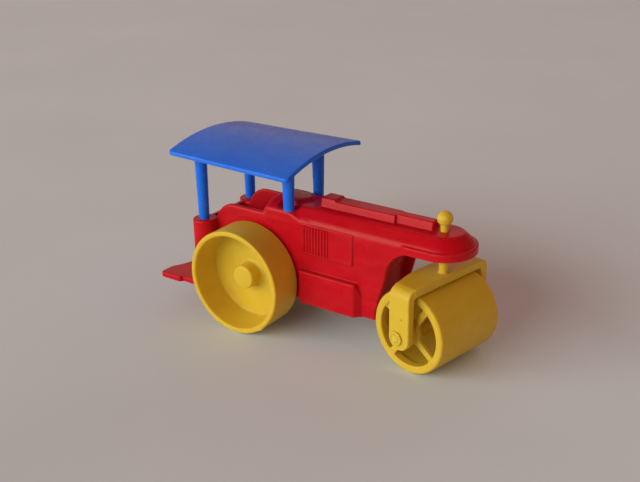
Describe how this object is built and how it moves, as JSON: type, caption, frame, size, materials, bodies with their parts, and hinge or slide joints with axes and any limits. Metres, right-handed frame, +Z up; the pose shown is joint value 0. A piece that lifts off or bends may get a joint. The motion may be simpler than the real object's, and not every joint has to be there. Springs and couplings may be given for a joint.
{
  "type": "toy road roller",
  "caption": "Toy road roller: canopied body on two dished rear wheels, with a hollow spoked drum in a fork that steers about an upright pin.",
  "frame": {"origin": "on the ground, at the middle of the whole toy's length and width, with the fork at its drawn angle", "axes": "+X forwards, towards the drum; +Y to the left; +Z up"},
  "size_m": [0.0816, 0.031, 0.0431],
  "materials": {
    "red_plastic": "glossy moulded polystyrene",
    "blue_plastic": "glossy moulded polystyrene",
    "yellow_plastic": "satin moulded polyethylene"
  },
  "bodies": {
    "chassis": {"body": "red_plastic", "canopy": "blue_plastic"},
    "rear_wheels": {"rear_axle": "yellow_plastic", "rear_wheel_right": "yellow_plastic", "rear_wheel_left": "yellow_plastic"},
    "fork": {"fork": "yellow_plastic", "king_pin_knob": "yellow_plastic", "drum_pin_right": "yellow_plastic", "drum_pin_left": "yellow_plastic"},
    "drum": {"drum": "yellow_plastic", "drum_end_cap": "yellow_plastic"}
  },
  "joints": [
    {"name": "rear_wheels_spin", "type": "hinge", "parent": "chassis", "child": "rear_wheels", "pos_m": [-0.01484, 0, 0.0125], "axis": [0, 1, 0], "continuous": true},
    {"name": "steering", "type": "hinge", "parent": "chassis", "child": "fork", "pos_m": [0.03116, 0, 0.026], "axis": [0, 0, 1], "range_deg": [-0.5, 22.5]},
    {"name": "drum_spin", "type": "hinge", "parent": "fork", "child": "drum", "pos_m": [0.02979, 0.00027, 0.0095], "axis": [0.1908, 0.9816, 0], "continuous": true}
  ]
}
